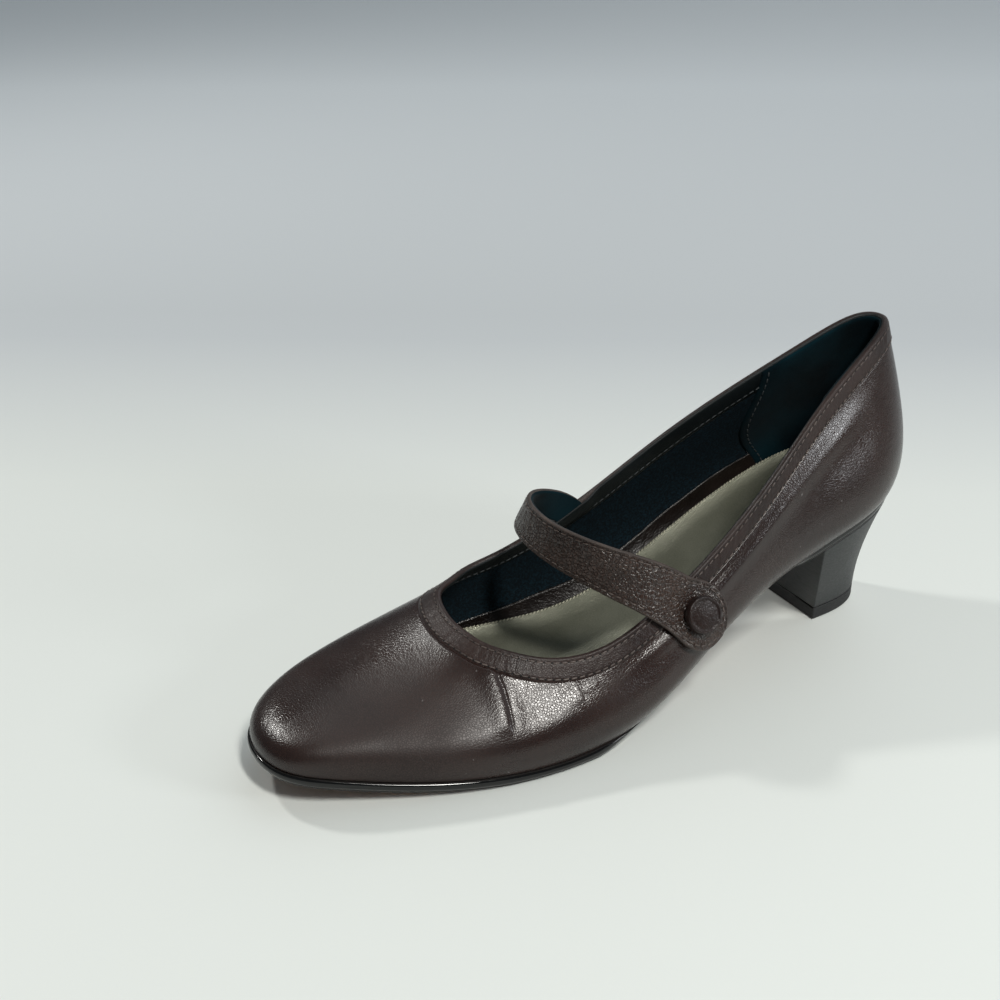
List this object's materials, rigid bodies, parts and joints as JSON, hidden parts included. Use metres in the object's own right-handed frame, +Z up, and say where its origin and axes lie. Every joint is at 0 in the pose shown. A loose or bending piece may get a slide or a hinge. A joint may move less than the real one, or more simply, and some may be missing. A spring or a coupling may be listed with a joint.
{
  "type": "mary jane shoe",
  "caption": "Low-heeled slip-in leather court shoe with an instep strap fastened by a round covered button, shaped for the left foot.",
  "frame": {"origin": "centre of the heel's tread, on the floor", "axes": "-Y towards the toe, +Y towards the back of the heel, +X towards the outer side of the left foot, +Z up"},
  "size_m": [0.0829, 0.2508, 0.1092],
  "materials": {
    "upper_leather": "smooth semi-gloss dark chocolate brown leather",
    "sole_edge": "black glossy edge",
    "sock_leather": "metallic silver-olive leather",
    "heel_cover": "matte charcoal",
    "top_piece_rubber": "matte black",
    "strap_leather": "creased semi-gloss dark brown leather",
    "button_leather": "smooth leather-covered button"
  },
  "bodies": {
    "root": {"upper": "upper_leather", "outsole": "sole_edge", "insole": "sock_leather", "heel": "heel_cover", "top_piece": "top_piece_rubber", "strap": "strap_leather", "button": "button_leather"}
  },
  "joints": []
}
